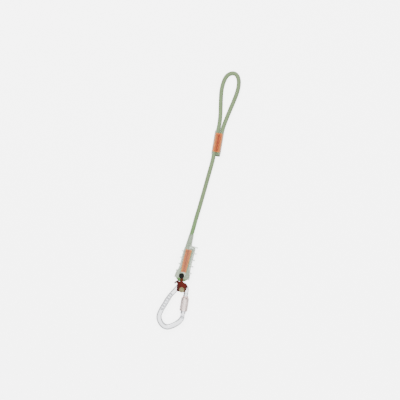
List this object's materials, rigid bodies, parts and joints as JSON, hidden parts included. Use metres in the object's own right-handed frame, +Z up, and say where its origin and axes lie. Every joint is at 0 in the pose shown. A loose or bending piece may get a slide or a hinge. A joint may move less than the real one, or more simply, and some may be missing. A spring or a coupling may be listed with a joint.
{
  "type": "rope tether with locking connector",
  "caption": "Short rope tether with a sewn loop, a clear sleeved lower end, a red link with a sprung cam, and a screw-lock connector.",
  "frame": {"origin": "centre of the bounding box's footprint, on the surface the part lies on", "axes": "Z up, square to the surface; +Y along the tether towards the sewn loop; the connector is at -Y"},
  "size_m": [0.0638, 0.5923, 0.0188],
  "materials": {
    "rope": "woven kernmantle sheath, matt pale green",
    "sealed_end": "melted and sealed, dark",
    "wrap": "woven tape, light orange",
    "thread": "bar tacks, dark orange thread",
    "clear_shrink": "clear heat-shrunk film",
    "clear_sleeve": "clear, slightly milky moulded plastic",
    "bright_steel": "bright",
    "spring_steel": "drawn wire",
    "dull_steel": "satin",
    "dark_red": "dark maroon enamel",
    "black_steel": "black oxide",
    "khaki_steel": "dull zinc, olive khaki",
    "red_anodised": "dark red anodised",
    "bright_aluminium": "polished",
    "white_aluminium": "satin silver, knurled",
    "pink_red_plastic": "red band, faded"
  },
  "bodies": {
    "tether": {"rope": "rope", "rope_end_lower": "sealed_end", "rope_end_upper": "sealed_end", "lower_wrap": "wrap", "upper_wrap": "wrap", "lower_stitching": "thread", "upper_stitching": "thread", "upper_shrink": "clear_shrink", "ribbed_sleeve": "clear_sleeve", "eye_bush": "bright_steel"},
    "link": {"link_plate_front": "red_anodised", "link_plate_back": "red_anodised", "link_pin": "black_steel", "pin_nut": "black_steel", "cam_axle": "khaki_steel", "axle_nut": "khaki_steel"},
    "trigger": {"cam": "dull_steel", "trigger": "dark_red", "cam_spring": "spring_steel"},
    "connector": {"connector_frame": "bright_aluminium", "gate_rivet": "bright_steel"},
    "gate": {"gate": "bright_aluminium", "gate_spring": "spring_steel", "gate_plunger": "bright_steel"},
    "indicator": {"indicator_ring": "pink_red_plastic"},
    "lock": {"lock_sleeve": "white_aluminium"}
  },
  "joints": [
    {"name": "link_swing", "type": "hinge", "parent": "tether", "child": "link", "pos_m": [0.0008, -0.1717, 0.0094], "axis": [0, 0, 1], "range_deg": [-25, 18]},
    {"name": "trigger_press", "type": "hinge", "parent": "link", "child": "trigger", "pos_m": [0.00851, -0.20173, 0.0094], "axis": [0, 0, 1], "range_deg": [0, 20], "stiffness_Nm_per_rad": 0.02, "springref_deg": -20.05},
    {"name": "connector_swing", "type": "hinge", "parent": "link", "child": "connector", "pos_m": [0.00851, -0.20173, 0.0094], "axis": [0, 0, 1], "range_deg": [-12, 12]},
    {"name": "gate_open", "type": "hinge", "parent": "connector", "child": "gate", "pos_m": [0.02453, -0.26095, 0.0094], "axis": [0, 0, 1], "range_deg": [0, 17], "stiffness_Nm_per_rad": 0.15, "springref_deg": -34.38},
    {"name": "lock_turn", "type": "hinge", "parent": "gate", "child": "indicator", "pos_m": [0.02056, -0.21553, 0.0094], "axis": [-0.0872, 0.9962, 0], "range_deg": [0, 900]},
    {"name": "lock_travel", "type": "slide", "parent": "indicator", "child": "lock", "axis": [-0.0872, 0.9962, 0], "range_m": [0, 0.01]}
  ],
  "couplings": [
    {"joint": "lock_travel", "follows": "lock_turn", "m_per_rad": 0.00063662}
  ]
}
